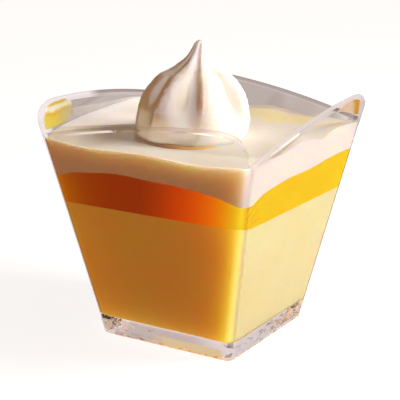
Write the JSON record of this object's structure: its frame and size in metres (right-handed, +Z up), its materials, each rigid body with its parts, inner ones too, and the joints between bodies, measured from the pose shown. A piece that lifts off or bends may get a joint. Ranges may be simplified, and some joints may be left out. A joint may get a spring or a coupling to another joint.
{
  "type": "layered panna cotta in a square dessert cup",
  "caption": "Chilled cream dessert in a flared clear cup with a wavy rim: yellow and white panna cotta with fruit jelly between, topped with a piped meringue kiss.",
  "frame": {"origin": "middle of the cup's underside, where it stands", "axes": "+Z up; the cup's four walls face +X, -X, +Y and -Y; the pictured corner lies between -Y and +X"},
  "size_m": [0.0704, 0.0704, 0.0855],
  "materials": {
    "clear_cup": "clear, polished moulded plastic",
    "yellow_cream": "set cream, soft satin",
    "orange_jelly": "clear fruit jelly, glossy",
    "white_cream": "set cream, satin",
    "meringue": "dry meringue, matte"
  },
  "bodies": {
    "root": {"cup": "clear_cup", "yellow_panna_cotta": "yellow_cream", "fruit_jelly": "orange_jelly", "white_panna_cotta": "white_cream", "meringue_kiss": "meringue"}
  },
  "joints": []
}
